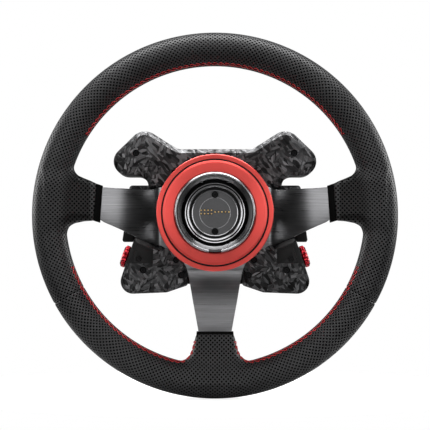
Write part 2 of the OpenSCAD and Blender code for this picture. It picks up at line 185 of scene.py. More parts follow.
def modify(ob, kind, **settings):
    m = ob.modifiers.new(kind, kind)
    for key, value in settings.items():
        setattr(m, key, value)
    bpy.context.view_layer.update()
    done = bpy.data.meshes.new_from_object(ob.evaluated_get(bpy.context.evaluated_depsgraph_get()))
    ob.modifiers.clear()
    ob.data = done
    return ob


def boolean(ob, parts, operation="DIFFERENCE"):
    other = make("cutter", parts)
    modify(ob, "BOOLEAN", object=other, operation=operation, solver="EXACT")
    bpy.data.objects.remove(other)
    tidy(ob.data)
    return smooth(ob)


def soften(ob, width, segments=2, angle=38):
    """A small round along the sharp edges."""
    modify(ob, "BEVEL", width=width * MM, segments=segments, limit_method="ANGLE",
           angle_limit=radians(angle), harden_normals=False, miter_outer="MITER_ARC")
    return smooth(ob)


def split_faces(bm, faces, at, across):
    """Cuts some faces of a mesh along a plane."""
    verts, edges = {v for f in faces for v in f.verts}, {e for f in faces for e in f.edges}
    bmesh.ops.bisect_plane(bm, geom=[*verts, *edges, *faces], plane_co=at, plane_no=across, dist=1e-7)


def moved(part, offset):
    pts, faces = part
    return [(p[0] + offset[0], p[1] + offset[1], p[2] + offset[2]) for p in pts], faces


def turned(part, matrix):
    pts, faces = part
    return [tuple(matrix @ Vector(p)) for p in pts], faces


def mirrored(part):
    """The same part on the other side of the wheel."""
    pts, faces = part
    return [(-p[0], p[1], p[2]) for p in pts], [list(f)[::-1] for f in faces]


def parts_of(ob):
    """The mesh of an object as a part, and the object is removed."""
    me = ob.data
    part = ([tuple(v.co / MM) for v in me.vertices], [list(p.vertices) for p in me.polygons])
    bpy.data.objects.remove(ob)
    return part


def tube(path, radius, sides=6):
    """A round thread along points."""
    path = [Vector(p) for p in path]
    pts, faces, side = [], [], None
    for i, p in enumerate(path):
        t = (path[min(i + 1, len(path) - 1)] - path[max(i - 1, 0)]).normalized()
        if side is None:
            side = t.orthogonal().normalized()
        side = (side - t * side.dot(t)).normalized()
        up = t.cross(side)
        pts += [tuple(p + radius * (side * c + up * s)) for c, s in circle(sides)]
    for a in range(0, (len(path) - 1) * sides, sides):
        b = a + sides
        faces += [(a + k, a + (k + 1) % sides, b + (k + 1) % sides, b + k) for k in range(sides)]
    faces += [list(range(sides))[::-1], list(range(len(pts) - sides, len(pts)))]
    return pts, faces


# ---- Materials ----

class Val:
    """A number in a material, with ordinary arithmetic."""

    def __init__(self, m, socket):
        self.m, self.socket = m, socket

    def op(self, operation, *others):
        n = self.m.nt.nodes.new("ShaderNodeMath")
        n.operation = operation
        for slot, value in zip(n.inputs, (self, *others)):
            self.m.put(slot, value)
        return Val(self.m, n.outputs[0])

    def __add__(self, o): return self.op("ADD", o)
    def __sub__(self, o): return self.op("SUBTRACT", o)
    def __mul__(self, o): return self.op("MULTIPLY", o)
    def __neg__(self): return self.op("MULTIPLY", -1.0)
    def abs(self): return self.op("ABSOLUTE")
    def sqrt(self): return self.op("SQRT")
    def fract(self): return self.op("FRACT")
    def sign(self): return self.op("SIGN")
    def sin(self): return self.op("SINE")
    def max(self, o): return self.op("MAXIMUM", o)
    def min(self, o): return self.op("MINIMUM", o)
    def above(self, o): return self.op("GREATER_THAN", o)

    def rest(self):
        """What is left of 1."""
        return self * -1.0 + 1.0

    def step(self, a, b):
        """0 before a, 1 after b, smooth between."""
        n = self.m.nt.nodes.new("ShaderNodeMapRange")
        n.interpolation_type = "SMOOTHSTEP"
        self.m.put(n.inputs["Value"], self)
        n.inputs["From Min"].default_value, n.inputs["From Max"].default_value = a, b
        return Val(self.m, n.outputs["Result"])


class Mat:
    """A Principled material built from a few calls."""

    def __init__(self, name, **sockets):
        self.material = bpy.data.materials.new(name)
        self.material.use_nodes = True
        self.nt = self.material.node_tree
        self.bsdf = self.nt.nodes["Principled BSDF"]
        for key, value in sockets.items():
            self.bsdf.inputs[key.replace("_", " ")].default_value = value
        at = self.nt.nodes.new("ShaderNodeTexCoord")
        self.at = at.outputs["Object"]
        xyz = self.nt.nodes.new("ShaderNodeSeparateXYZ")
        self.nt.links.new(self.at, xyz.inputs[0])
        self.x, self.y, self.z = (Val(self, s) for s in xyz.outputs)

    def put(self, slot, value):
        if isinstance(value, Val):
            self.nt.links.new(value.socket, slot)
        elif isinstance(value, bpy.types.NodeSocket):
            self.nt.links.new(value, slot)
        else:
            slot.default_value = value

    def vec(self, x, y, z):
        n = self.nt.nodes.new("ShaderNodeCombineXYZ")
        for slot, value in zip(n.inputs, (x, y, z)):
            self.put(slot, value)
        return n.outputs[0]

    def noise(self, scale, detail=3.0, rough=0.55, at=None):
        n = self.nt.nodes.new("ShaderNodeTexNoise")
        self.put(n.inputs["Vector"], at or self.at)
        for key, value in (("Scale", scale), ("Detail", detail), ("Roughness", rough)):
            n.inputs[key].default_value = value
        return Val(self, n.outputs["Fac"])

    def cells(self, scale, at=None, output="Color"):
        n = self.nt.nodes.new("ShaderNodeTexVoronoi")
        self.put(n.inputs["Vector"], at or self.at)
        n.inputs["Scale"].default_value = scale
        return Val(self, n.outputs[output])

    def mix(self, factor, a, b):
        n = self.nt.nodes.new("ShaderNodeMix")
        n.data_type = "RGBA"
        self.put(n.inputs[0], factor)
        self.put(n.inputs[6], (*a, 1) if isinstance(a, tuple) else a)
        self.put(n.inputs[7], (*b, 1) if isinstance(b, tuple) else b)
        return n.outputs[2]

    def ramp(self, factor, stops):
        n = self.nt.nodes.new("ShaderNodeValToRGB")
        self.put(n.inputs[0], factor)
        while len(n.color_ramp.elements) < len(stops):
            n.color_ramp.elements.new(0.5)
        for element, (position, colour) in zip(n.color_ramp.elements, stops):
            element.position, element.color = position, (*colour, 1)
        return n.outputs[0]

    def bump(self, height, strength, distance):
        n = self.nt.nodes.new("ShaderNodeBump")
        n.inputs["Strength"].default_value = strength
        n.inputs["Distance"].default_value = distance * MM
        self.put(n.inputs["Height"], height)
        if self.bsdf.inputs["Normal"].is_linked:
            self.nt.links.new(self.bsdf.inputs["Normal"].links[0].from_socket, n.inputs["Normal"])
        self.nt.links.new(n.outputs[0], self.bsdf.inputs["Normal"])

    def colour(self, value):
        self.put(self.bsdf.inputs["Base Color"], value)

    def tones(self, factor, colour, dark, light, stops=(0.3, 0.5, 0.75)):
        """Runs the colour from a darker to a lighter shade of itself."""
        shades = [tuple(min(1.0, c * k) for c in colour) for k in (dark, 1, light)]
        self.colour(self.ramp(factor, list(zip(stops, shades))))

    def rough(self, value):
        self.put(self.bsdf.inputs["Roughness"], value)


def grey(v):
    return (v, v, v * 1.03)


# Holes along a quarter of the rim and round its section
HOLES_ALONG, HOLES_ACROSS = 59, 25


def leather_material():
    """Leather with holes in rows that run round the rim and straight along the boots."""
    m = Mat("leather_perforated", Specular_IOR_Level=0.3)
    out = (m.x * m.x + m.z * m.z).sqrt() - TUBE_R * MM
    across_y = m.y - RIM_Y * MM
    ax, low_side = m.x.abs(), -m.z
    side = ax.above(low_side)
    along = ax.max(low_side)
    across = m.z * side + m.x * side.rest()
    u_rim = across.op("ARCTAN2", along) * (TUBE_R * MM)
    v_rim = across_y.op("ARCTAN2", out) * (GRIP_R * MM)
    v_boot = across_y.sign() * (along * -1.0 + (TUBE_R + pi / 2 * GRIP_R) * MM)
    off = (out * out + across_y * across_y).sqrt().step((GRIP_R + 0.3) * MM, (GRIP_R + 7) * MM)
    keep = off.rest()
    pitch_u, pitch_v = pi / 2 * TUBE_R / HOLES_ALONG, 2 * pi * GRIP_R / HOLES_ACROSS
    u = (u_rim * keep + across * off) * (1 / (pitch_u * MM))
    v = (v_rim * keep + v_boot * off) * (1 / (pitch_v * MM))

    def hole(du, dv):
        a = ((u + du).fract() - 0.5) * pitch_u
        b = ((v + dv).fract() - 0.5) * pitch_v
        return (a * a + b * b).sqrt()

    hide = hole(0.0, 0.0).min(hole(0.5, 0.5)).step(0.7, 0.9)
    grain = m.cells(1500, output="Distance")
    patches = m.noise(38, 4)
    wear = m.noise(220, 3)
    base = m.ramp(patches * 0.7 + wear * 0.3, [(0.3, grey(0.028)), (0.55, grey(0.04)), (0.8, grey(0.055))])
    # Painted shade: the side boots, beyond a band next to the trims, are darkened almost to black
    side_boot_painted_shade = off * side * 0.95 * along.step(110.5 * MM, 114 * MM)
    base = m.mix(side_boot_painted_shade, base, grey(0.002))
    m.colour(m.mix(hide, (0.0005, 0.0005, 0.0006), base))
    m.rough(patches * 0.12 + wear * 0.08 + 0.34 + (hide * -0.5 + 0.5))
    m.put(m.bsdf.inputs["Metallic"], hide.rest())
    m.bump(grain * 0.5 + wear * 0.5, 0.35, 0.12)
    m.bump(hide, 1.0, 0.9)
    return m.material


def plain_leather():
    m = Mat("leather_smooth", Specular_IOR_Level=0.03)
    patches = m.noise(60, 4)
    m.colour(m.ramp(patches, [(0.3, grey(0.002)), (0.75, grey(0.004))]))
    m.rough(patches * 0.15 + 0.42)
    m.bump(m.cells(1300, output="Distance"), 0.4, 0.12)
    return m.material


def thread_material():
    m = Mat("twisted_thread", Sheen_Weight=0.5, Sheen_Roughness=0.4, Specular_IOR_Level=0.35)
    strands = ((m.x + m.y * 1.7 + m.z) * 5200.0).sin() * 0.5 + 0.5
    fuzz = m.noise(2600, 2)
    m.colour(m.ramp(strands * 0.6 + fuzz * 0.4, [
        (0.15, (0.45, 0.006, 0.012)), (0.5, (0.85, 0.02, 0.03)), (0.9, (1.0, 0.08, 0.08))]))
    m.rough(strands * 0.15 + 0.5)
    m.bump(strands, 0.5, 0.1)
    return m.material


def carbon_material():
    """Chips of carbon in three directions, laid over each other."""
    m = Mat("forged_carbon", Metallic=0.6, Specular_IOR_Level=0.18)
    warp = m.noise(70, 2)
    layers = None
    for turn, scale in ((0.3, 190), (1.35, 240), (2.3, 165)):
        c, s = cos(turn), sin(turn)
        a = m.x * c + m.z * s + warp * 0.004
        b = m.z * c - m.x * s + warp * 0.003
        chip = m.cells(scale, at=m.vec(a * 1.0, m.y * 1.6, b * 2.6))
        fibre = m.noise(1500, 2, at=m.vec(a * 0.1, m.y, b * 1.6))
        layer = chip * 0.7 + fibre * 0.3
        pick = m.cells(scale * 0.55, at=m.vec(b + turn, m.y * 1.4, a))
        if layers is None:
            layers = layer
        else:
            top = pick.step(0.42, 0.58)
            layers = layers * top.rest() + layer * top
    tone = layers * 0.72 + m.noise(45, 3) * 0.28
    m.colour(m.ramp(tone, [(at, grey(v)) for at, v in (
        (0.28, 0.006), (0.42, 0.025), (0.54, 0.07), (0.66, 0.16), (0.8, 0.32))]))
    m.rough(tone * -0.2 + 0.48)
    m.bump(tone, 0.15, 0.1)
    return m.material


def brushed_material():
    """Metal brushed along X."""
    m = Mat("brushed_dark", Metallic=1.0, Anisotropic=0.25)
    m.put(m.bsdf.inputs["Tangent"], m.vec(0.0, 0.0, 1.0))
    lines = m.noise(1, 5, 0.7, at=m.vec(m.x * 3.0, m.y * 60.0, m.z * 900.0))
    fine = m.noise(1, 3, 0.7, at=m.vec(m.x * 36.0, m.y * 60.0, m.z * 2700.0))
    k = lines * 0.55 + fine * 0.35 + m.noise(30, 3) * 0.1
    m.tones(k, grey(0.25), 0.6, 1.5, (0.3, 0.5, 0.7))
    m.rough(k * 0.4 + 0.11)
    m.bump(lines * 0.6 + fine * 0.4, 0.35, 0.06)
    return m.material


def turned_material(name, colour, rough, ripple=0.25, **sockets):
    """Lathe-turned metal: fine rings about the wheel axis."""
    m = Mat(name, Metallic=1.0, Anisotropic=0.6, **sockets)
    r = (m.x * m.x + m.z * m.z).sqrt()
    m.put(m.bsdf.inputs["Tangent"], m.vec(m.x, 0.0, m.z))
    rings = m.noise(1, 4, 0.7, at=m.vec(r * 5200.0, m.y * 5200.0, 0.0))
    wear = m.noise(55, 4)
    m.tones(rings * 0.5 + wear * 0.5, colour, 0.86, 1.08)
    m.rough(wear * 0.12 + rings * 0.08 + (rough - 0.1))
    m.bump(rings, ripple, 0.02)
    return m.material


def cast_material(name, colour, rough):
    """Fine blasted and anodised metal."""
    m = Mat(name, Metallic=1.0, Coat_Weight=0.4, Coat_Roughness=0.15)
    speck, wear = m.noise(1400, 3, 0.6), m.noise(70, 3)
    m.tones(wear * 0.5 + speck * 0.5, colour, 0.7, 1.3)
    m.rough(wear * 0.14 + speck * 0.08 + (rough - 0.1))
    m.bump(speck, 0.2, 0.03)
    return m.material


def moulded_material(name, colour, rough, grain=900, strength=0.25, **sockets):
    """Fine-grained moulded plastic, rubber or coated metal."""
    m = Mat(name, **sockets)
    speck, wear = m.noise(grain, 3, 0.6), m.noise(40, 3)
    m.tones(wear * 0.6 + speck * 0.4, colour, 0.75, 1.25, (0.3, 0.55, 0.8))
    m.rough(wear * 0.16 + speck * 0.1 + (rough - 0.13))
    m.bump(speck, strength, 0.06)
    return m.material


MATERIALS = {
    "bright_metal": turned_material("bright_metal", grey(0.66), 0.26, ripple=0.1),
    "qr_dark": turned_material("qr_dark", grey(0.16), 0.4),
    "lead_in": turned_material("lead_in", grey(0.27), 0.28),
    "anodised_red": turned_material("anodised_red", (0.97, 0.1, 0.085), 0.44, ripple=0.7,
                                    Coat_Weight=0.6, Coat_Roughness=0.3),
    "knob_red": cast_material("knob_red", (0.45, 0.008, 0.02), 0.24),
    "spring_steel": turned_material("spring_steel", grey(0.5), 0.35),
    "ball_steel": turned_material("ball_steel", grey(0.3), 0.2, ripple=0.04),
    "connector_black": moulded_material("connector_black", grey(0.13), 0.5, Metallic=0.4),
    "gold": cast_material("gold_plate", (1.0, 0.68, 0.3), 0.3),
    "black_steel": moulded_material("black_steel", grey(0.02), 0.34,
                                    Metallic=0.9, Specular_IOR_Level=0.2),
    "circuit_board": moulded_material("circuit_board", (0.01, 0.06, 0.025), 0.35, grain=300),
    "brushed_dark": brushed_material(),
    "ring_metal": turned_material("ring_metal", grey(0.5), 0.4),
    "foam": moulded_material("foam", grey(0.02), 0.8, grain=500, strength=0.6),
    "leather": leather_material(),
    "trim_black": plain_leather(),
    "red_thread": thread_material(),
    "forged_carbon": carbon_material(),
    "matte_black": moulded_material("matte_black", grey(0.008), 0.55, Specular_IOR_Level=0.22),
    "button_grey": moulded_material("button_grey", grey(0.06), 0.45, grain=700),
    "dial_black": turned_material("dial_black", grey(0.22), 0.4),
    "lens": moulded_material("lens", (0.72, 0.75, 0.78), 0.3, grain=400, strength=0.1,
                             Subsurface_Weight=0.15),
}
# The CAD parts that no piece replaces
NODE_SLOT = {
    "connector_board": "circuit_board", "main_board": "circuit_board", "rim_ring": "ring_metal",
    "rim_foam": "foam", "dial_encoders": "ring_metal", "thumb_encoder_left": "ring_metal",
    "thumb_encoder_right": "ring_metal",
}
for node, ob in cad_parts.items():
    kind = "ball_steel" if node.startswith("locking_ball") else "matte_black"
    ob.data.materials.clear()
    ob.data.materials.append(MATERIALS[NODE_SLOT.get(node, kind)])
    smooth(ob, 30)


def piece(ob, slot, *nodes, body="wheel", extra=()):
    """Gives a piece its material, body and the CAD nodes it stands for."""
    ob.data.materials.clear()
    ob.data.materials.append(MATERIALS[slot])
    for name in extra:
        ob.data.materials.append(MATERIALS[name])
    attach(ob, body)
    if nodes:
        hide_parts(*nodes)
    return ob


def sided(name, part, slot, node, bodies=("wheel", "wheel"), angle=32):
    """A piece on the right and its mirror image on the left."""
    for side, mesh, body in (("right", part, bodies[0]), ("left", mirrored(part), bodies[1])):
        piece(make(f"{name}_{side}", [mesh], angle), slot, f"{node}_{side}", body=body)


def paint(ob, index, test):
    """Gives the faces that pass the test another material.

    The test gets the centre, its distance from the wheel axis, both in mm, and the normal."""
    for p in ob.data.polygons:
        c = p.center / MM
        if test(c, hypot(c.x, c.z), p.normal):
            p.material_index = index


# ---- Camera, light and floor ----

TARGET = Vector((0, RIM_Y * MM, 0))
CAM_DISTANCE = 1.4
CAM_LOW = radians(1.7)
camera = add("camera", bpy.data.cameras.new("camera"))
scene.camera = camera
camera.location = TARGET + CAM_DISTANCE * Vector((0, -cos(CAM_LOW), -sin(CAM_LOW)))
camera.rotation_euler = (TARGET - camera.location).to_track_quat("-Z", "Y").to_euler()
camera.data.sensor_width = 36
camera.data.lens = 130
camera.data.clip_start = 0.05
scene.view_settings.view_transform = "Standard"


def area_light(name, at, aim, size, power):
    data = bpy.data.lights.new(name, "AREA")
    data.shape = "RECTANGLE"
    data.size, data.size_y = size
    data.energy = power
    ob = add(name, data)
    ob.location = at
    ob.rotation_euler = (Vector(aim) - Vector(at)).to_track_quat("-Z", "Y").to_euler()
    ob.visible_camera = False


for side in (-1, 1):
    area_light("side_box", (side * 1.05, -1.6, 0.3), TARGET, (1.3, 1.3), 8.5)
    area_light("back_box", (side * 1.45, 0.72, 0.4), TARGET, (0.7, 0.9), 17)
area_light("top_box", (0, 0.05, 1.0), TARGET, (1.4, 0.5), 24)
area_light("high_box", (0, -1.2, 1.4), TARGET, (1.6, 0.7), 7)

# Brightness of the surroundings from the camera side (0) to the backdrop (1)
WORLD = ((0.0, 0.27), (0.2, 0.03), (0.6, 0.03), (0.8, 0.12), (1.0, 0.22))
world = bpy.data.worlds.new("studio")
scene.world = world
world.use_nodes = True
world.node_tree.nodes.clear()
out, seen, lit, choose, ray, coord, split, depth, grade = (
    world.node_tree.nodes.new("ShaderNode" + kind) for kind in (
        "OutputWorld", "Background", "Background", "MixShader", "LightPath", "TexCoord", "SeparateXYZ",
        "MapRange", "ValToRGB"))
depth.inputs["From Min"].default_value = -1
while len(grade.color_ramp.elements) < len(WORLD):
    grade.color_ramp.elements.new(0.5)
for element, (position, value) in zip(grade.color_ramp.elements, WORLD):
    element.position, element.color = position, (value, value, value, 1)
lit.inputs["Color"].default_value = (1, 1, 1, 1)
seen.inputs["Color"].default_value = (1, 1, 1, 1)
seen.inputs["Strength"].default_value = 1.0
for source, target in (
        (coord.outputs["Generated"], split.inputs[0]), (split.outputs[1], depth.inputs["Value"]),
        (depth.outputs[0], grade.inputs[0]), (grade.outputs[0], lit.inputs["Strength"]),
        (ray.outputs["Is Camera Ray"], choose.inputs[0]), (lit.outputs[0], choose.inputs[1]),
        (seen.outputs[0], choose.inputs[2]), (choose.outputs[0], out.inputs[0])):
    world.node_tree.links.new(source, target)

# A pale disc that glows for the camera only, so that the metal doesn't mirror it
FLOOR_Z = low("leather_lower")[2] - 0.1
FLOOR_X, FLOOR_Y, FLOOR_MID_Y = 280, 260, 170
floor_mat = bpy.data.materials.new("floor")
floor_mat.use_nodes = True
fb = floor_mat.node_tree.nodes["Principled BSDF"]
fb.inputs["Base Color"].default_value = (0.5, 0.5, 0.5, 1)
fb.inputs["Roughness"].default_value = 0.9
fb.inputs["Emission Color"].default_value = (1, 1, 1, 1)
fn, fl = floor_mat.node_tree.nodes, floor_mat.node_tree.links
look, glow = fn.new("ShaderNodeLightPath"), fn.new("ShaderNodeMath")
glow.operation = "MULTIPLY"
glow.inputs[1].default_value = 0.8
fl.new(look.outputs["Is Camera Ray"], glow.inputs[0])
fl.new(glow.outputs[0], fb.inputs["Emission Strength"])
ring = [(FLOOR_X * c, FLOOR_MID_Y + FLOOR_Y * s, FLOOR_Z) for c, s in circle(96)]
floor = make("floor", [(ring, [list(range(96))])])
floor.data.materials.append(floor_mat)


# ---- Quick release ----

BORE_R, BODY_R, CONE_R = 29.0, 33.6, 31.69
KEY_HALF = 5.5
nose = make("nose_ring_turned", [lathe([
    (33, NOSE_Y, 0.15), (33.6, NOSE_Y, 0.2), (34.6, NOSE_Y + 1.2, 0.3), (34.6, 0, 0.15), (BODY_R + 0.02, 0, 0),
    (BODY_R + 0.02, -3.5, 0), (CONE_R, -3.5, 0), (32.3, -4.3, 0.2)], segs=180)])
boolean(nose, [prism([(-KEY_HALF, -40), (KEY_HALF, -40), (KEY_HALF, -28), (-KEY_HALF, -28)],
                     NOSE_Y - 1, NOSE_Y + 3.2)])
piece(soften(nose, 0.12), "bright_metal", "nose_ring", extra=("trim_black", "lead_in"))
# Painted shade: all but the flat front face of the nose ring get the darker grey metal, in place of the shade
# on its bevel and walls
paint(nose, 2, lambda c, r, n: not 32.95 < r < 33.7)
# Painted shade: the floor of the key notch is painted black
paint(nose, 1, lambda c, r, n: abs(c.x) < KEY_HALF - 0.2 and c.z < -28 and NOSE_Y + 2.9 < c.y < NOSE_Y + 3.5)

body = make("socket_body", [lathe([
    (CONE_R, -3.5, 0.1), (BORE_R, -1.7, 0.15), (BORE_R, 8, 0), (29.4, 8, 0), (29.4, 22, 0), (24, 22, 0),
    (24, BODY_FRONT, 0.3), (FLANGE_R, BODY_FRONT, 0.3), (FLANGE_R, 27, 0.5), (BODY_R, 27, 0.8),
    (BODY_R, -3.5, 0)], segs=180)])
BALL_Y, BALL_HOLE_R = 11.2, 3.06
ball_hole = moved(turned(rod(BALL_HOLE_R, 27, 36), Matrix.Rotation(radians(-90), 3, "Z")), (0, BALL_Y, 0))
boolean(body, [turned(ball_hole, Matrix.Rotation(-radians((i + 0.5) * 45), 3, "Y")) for i in range(8)])
piece(body, "qr_dark", "qr_body", extra=("matte_black", "lead_in"))
# Painted shade: the bore behind the lead-in is painted matte black, deep in the gap round the spigot
paint(body, 1, lambda c, r, n: r < 29.6 and c.y > -1.5)
paint(body, 2, lambda c, r, n: BORE_R < r < CONE_R + 0.11 and c.y < -1.6)

collar = make("collar_turned", [lathe([
    (33.9, 0.3, 0.15), (35.1, 0.3, 0.1), (35.1, -0.6, 0.1), (35.6, -1.1, 0.25), (43.1, -0.6, 0.1),
    (44.9, 0, 0.1), (45.2, 2.6, 0.1), (46, 2.6, 0.1), (46.4, 2.2, 0.15), (COLLAR_R - 0.5, 2.2, 0.3),
    (COLLAR_R, 2.7, 0.3),
    (COLLAR_R, 5.0, 0.15), (COLLAR_R - 0.6, 5.5, 0.15), (COLLAR_R - 0.6, 7.6, 0.15), (COLLAR_R, 8.1, 0.15),
    (COLLAR_R, 10.5, 0.3), (COLLAR_R - 0.5, 11, 0.3), (43.5, 11.8, 0.4), (41.5, 13.5, 0.4), (41.5, 19.5, 0.3),
    (39, 19.5, 0.2), (39, 15.6, 0), (33.65, 15.6, 0), (33.65, 11.62, 0), (35.98, 2.3, 0), (33.9, 2.3, 0)],
    segs=200)])
piece(collar, "anodised_red", "release_collar", body="collar", extra=("matte_black",))
# Painted shade: the groove round the collar is painted black, in place of its shade and dark reflection
paint(collar, 1, lambda c, r, n: 44.85 < r < 46.3 and 0.3 < c.y < 3)

# Three turns of wire that the collar squeezes against the flange
SPRING_LOW, SPRING_HIGH, COIL_R, WIRE_R = 15.75, 26.9, 36.3, 0.8
coil = []
for k in range(3 * 48 + 1):
    a = 2 * pi * k / 48
    climb = min(max((k / 48 - 0.25) / 2.5, 0), 1)
    y = SPRING_LOW + WIRE_R + (SPRING_HIGH - SPRING_LOW - 2 * WIRE_R) * climb
    coil.append((COIL_R * cos(a), y, COIL_R * sin(a)))
spring = piece(make("return_spring", [tube(coil, WIRE_R - 0.01, 10)], 60),
               "spring_steel", "collar_spring")
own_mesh(spring)

spigot = make("spigot_turned", [lathe([
    (14, 16, 0), (DISC_R + 0.2, 16, 0), (DISC_R + 0.2, 13.5, 0.1), (22.3, 13.5, 0.2), (22.3, 9.4, 0.15),
    (23.8, 8.7, 0.15), (24.1, 9.3, 0.1), (25.1, 9.3, 0.1), (SPIGOT_R, 8.85, 0.1), (SPIGOT_R, 22, 0),
    (23.95, 22, 0), (23.95, 30, 0.3), (14, 30, 0.3)], segs=160)])
piece(spigot, "matte_black", "centre_spigot", extra=("bright_metal",))
paint(spigot, 1, lambda c, r, n: c.y < 10.2 and n.y < -0.2 and (22.2 < r < 23.8 or r > 25.1))

disc = make("connector_face", [lathe([
    (0, DISC_Y, 0), (13.1, DISC_Y, 0), (13.15, DISC_Y + 0.08, 0), (13.5, DISC_Y + 0.08, 0), (13.55, DISC_Y, 0),
    (DISC_R - 1.1, DISC_Y, 0), (DISC_R - 0.9, DISC_Y + 0.35, 0), (DISC_R - 0.2, DISC_Y, 0.05),
    (DISC_R, DISC_Y + 0.3, 0.05), (DISC_R, 16, 0), (0, 16, 0)], segs=128)])
DISC_SCREWS = (-16, 16)
boolean(disc, [lathe([(0, DISC_Y - 1, 0), (3.4, DISC_Y - 1, 0), (3.1, DISC_Y + 0.3, 0), (3.1, DISC_Y + 2.2, 0),
                      (1.7, DISC_Y + 2.2, 0), (1.7, 17, 0), (0, 17, 0)], at=(0, z), segs=40)
               for z in DISC_SCREWS])
CONTACTS = [((i - 4) * 3, z - 1.2) for i in range(4) for z in (0.6, 3.6)]
CONTACTS += [((i - 4) * 3, 0.9) for i in range(4, 9)]
boolean(disc, [rod(1.05, DISC_Y - 1, DISC_Y + 0.7, at, 20) for at in CONTACTS])
piece(disc, "connector_black", "connector_disc", extra=("bright_metal", "matte_black"))
# Painted shade: the recesses round the contacts are painted matte black
paint(disc, 2, lambda c, r, n: abs(c.x) < 13.2 and abs(c.z) < 4 and DISC_Y + 0.1 < c.y < DISC_Y + 1)
# Painted highlight: the thin ring on the disc face is painted bright metal. The outer edge is bright metal too
paint(disc, 1, lambda c, r, n: (13.0 < r < 13.6 and DISC_Y + 0.02 < c.y < DISC_Y + 1) or
      (r > DISC_R - 0.92 and c.y < DISC_Y + 0.6))

pins = make("contact_tips", [
    lathe([(0, DISC_Y - 0.5, 0), (0.72, DISC_Y - 0.5, 0.3), (0.72, 18, 0), (0, 18, 0)], at=at, segs=16)
    for at in CONTACTS])
piece(pins, "gold", "contact_pins")


def socket_screw(head_r, head_h, hex_r, shank_r, y0, y1, chamfer=0.3):
    """A socket head screw along +Y with its head at y0."""
    head = make("head", [lathe([
        (0, y0, 0), (head_r - chamfer, y0, 0.08), (head_r, y0 + chamfer, 0.08), (head_r, y0 + head_h, 0.1),
        (shank_r, y0 + head_h, 0), (shank_r, y1 - shank_r * 0.3, 0), (shank_r * 0.7, y1, 0),
        (0, y1, 0)], segs=48)])
    hexagon = [(hex_r * c, hex_r * s) for c, s in circle(6)]
    boolean(head, [prism(hexagon, y0 - 1, y0 + head_h * 0.7)])
    soften(head, 0.07, 1)
    return parts_of(head)


screw = socket_screw(2.8, 1.9, 1.4, 1.5, DISC_Y + 0.3, 21)
piece(make("face_screws", [moved(screw, (0, 0, z)) for z in DISC_SCREWS]),
      "black_steel", "disc_screws")


# ---- Hub and spokes ----

# How the side spokes and the bottom one bend: distance from the axis and depth
SPOKE_CURVE = [(47.5, 0), (55, 2), (61, DISH - 5), (102, DISH)]
FOOT_CURVE = [(48, 0), (60, 3), (62, DISH - 6), (102, DISH)]


def bezier(p, t):
    b = ((1 - t) ** 3, 3 * t * (1 - t) ** 2, 3 * t * t * (1 - t), t ** 3)
    return Vector((sum(w * q[0] for w, q in zip(b, p)), sum(w * q[1] for w, q in zip(b, p))))


def spoke_strip(upper, lower, curve=SPOKE_CURVE):
    """A bent strip along +X from hub to rim with softened edges. upper and lower give z at x."""
    mid = [Vector((x, 0)) for x in (36, 40, 44, 47)] + [bezier(curve, k / 40) for k in range(41)]
    mid += [Vector((x, DISH)) for x in (104, 110, 120, 132, 146)]
    rings = []
    for i, p in enumerate(mid):
        t = (mid[min(i + 1, len(mid) - 1)] - mid[max(i - 1, 0)]).normalized()
        n = Vector((-t.y, t.x))
        top, bottom = np.interp(p.x, *zip(*upper)), np.interp(p.x, *zip(*lower))
        section = round_path([(bottom, -SPOKE_T / 2, 0.55), (top, -SPOKE_T / 2, 0.55),
                              (top, SPOKE_T / 2, 0.55), (bottom, SPOKE_T / 2, 0.55)], 3)
        rings.append([(p.x + n.x * h, HUB_Y + SPOKE_T / 2 + p.y + n.y * h, z) for z, h in section])
    return stack(rings)


# Edges of a side spoke and half width of the bottom one, along each spoke
UPPER = [(30, 30), (42, 26), (47, 23.2), (53, 21.6), (62, 21.8), (80, 23.6), (92, 24.2), (101.6, 25.2),
         (103, 23.5), (147, 21)]
LOWER = [(30, -34), (42, -30.5), (48, -27.8), (57.5, -25), (70, -19.6), (84.8, -12.9), (93.6, -9.1),
         (101.6, -5.8), (103, -3.4), (147, -1)]
BOTTOM = [(30, 30), (42, 28), (46, 25.8), (51, 23.8), (60, 22.2), (76, 19.8), (105, 14.8), (107, 13.2),
          (147, 12)]
side_strip = spoke_strip(UPPER, LOWER)
TO_FOOT = Matrix.Rotation(radians(90), 3, "Y")
bottom_strip = turned(spoke_strip(BOTTOM, [(x, -w) for x, w in BOTTOM], FOOT_CURVE), TO_FOOT)
spokes = make("spokes_brushed", [lathe([
    (20, HUB_Y, 0.3), (44, HUB_Y, 0.4), (44, HUB_Y + SPOKE_T, 0.4), (20, HUB_Y + SPOKE_T, 0.3)], segs=120)])
for strip in (side_strip, mirrored(side_strip), bottom_strip):
    boolean(spokes, [strip], "UNION")
HUB_BOLTS = [(35 * cos(radians(a)), 35 * sin(radians(a))) for a in range(30, 390, 60)]
boolean(spokes, [rod(2.75, 20, 50, at) for at in HUB_BOLTS])
piece(smooth(spokes, 40), "brushed_dark", "spoke_frame")

bolt = socket_screw(4.25, 5, 2.3, 2.5, -HUB_Y - SPOKE_T - 5, -HUB_Y + 4.5)
flip = Matrix.Rotation(radians(180), 3, "Z")
piece(make("hub_screws", [moved(turned(bolt, flip), (x, 0, z)) for x, z in HUB_BOLTS]),
      "black_steel", "hub_bolts")


# ---- Leather rim ----

